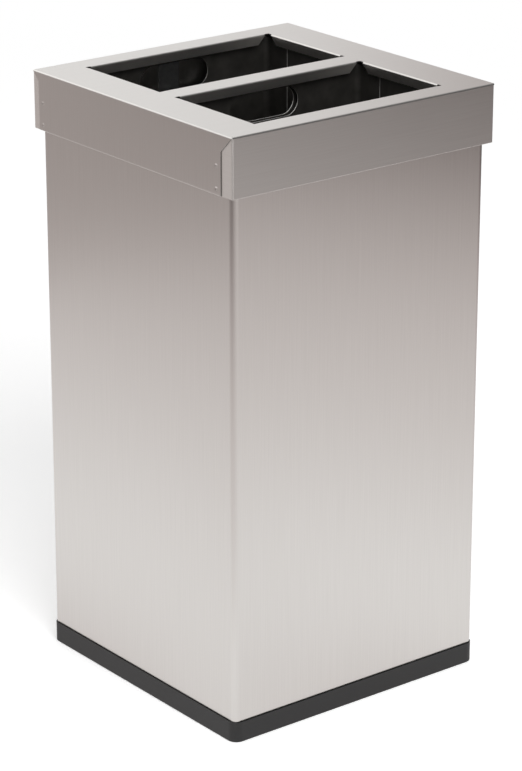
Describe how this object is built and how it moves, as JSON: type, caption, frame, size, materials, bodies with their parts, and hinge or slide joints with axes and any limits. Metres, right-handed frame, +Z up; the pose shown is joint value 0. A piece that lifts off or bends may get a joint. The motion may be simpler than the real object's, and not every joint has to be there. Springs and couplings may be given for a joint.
{
  "type": "double recycling bin",
  "caption": "Square brushed-steel recycling bin with a lift-off folded lid, paired openings over lift-out sheet-metal buckets, and a moulded plinth.",
  "frame": {"origin": "centre of the underside, on the floor", "axes": "+Z up; -Y is the front, so the openings lie one behind the other along Y and are long along X"},
  "size_m": [0.38, 0.38, 0.727],
  "materials": {
    "brushed_stainless_steel": "fine straight grain, satin",
    "dark_galvanised_steel": "dull grey zinc coat, slightly reflective",
    "zinc_plated_steel": "plain zinc plate",
    "black_plastic": "moulded, semi-matt",
    "rubber": "matt"
  },
  "bodies": {
    "casing": {"base_plinth": "black_plastic", "foot_pad_front_left": "rubber", "foot_pad_front_right": "rubber", "foot_pad_rear_right": "rubber", "foot_pad_rear_left": "rubber", "base_screw_1": "zinc_plated_steel", "base_screw_2": "zinc_plated_steel", "base_screw_3": "zinc_plated_steel", "base_screw_4": "zinc_plated_steel", "casing_shell": "brushed_stainless_steel", "casing_floor": "zinc_plated_steel", "casing_seam_strip": "zinc_plated_steel", "bucket_guide_left": "zinc_plated_steel", "bucket_guide_right": "zinc_plated_steel"},
    "lid": {"lid_cover": "brushed_stainless_steel", "lid_locator_front_left": "zinc_plated_steel", "lid_locator_front_right": "zinc_plated_steel", "lid_locator_rear_right": "zinc_plated_steel", "lid_locator_rear_left": "zinc_plated_steel"},
    "front_bucket": {"front_bucket_wall": "dark_galvanised_steel", "front_bucket_floor": "dark_galvanised_steel"},
    "rear_bucket": {"rear_bucket_wall": "dark_galvanised_steel", "rear_bucket_floor": "dark_galvanised_steel"}
  },
  "joints": [
    {"name": "lid_lift", "type": "slide", "parent": "casing", "child": "lid", "axis": [0, 0, 1], "range_m": [0, 0.95]},
    {"name": "front_bucket_lift", "type": "slide", "parent": "casing", "child": "front_bucket", "axis": [0, 0, 1], "range_m": [0, 0.76]},
    {"name": "rear_bucket_lift", "type": "slide", "parent": "casing", "child": "rear_bucket", "axis": [0, 0, 1], "range_m": [0, 0.76]}
  ],
  "couplings": [
    {"joint": "front_bucket_lift", "follows": "lid_lift", "ratio": 0.8},
    {"joint": "rear_bucket_lift", "follows": "lid_lift", "ratio": 0.8}
  ]
}
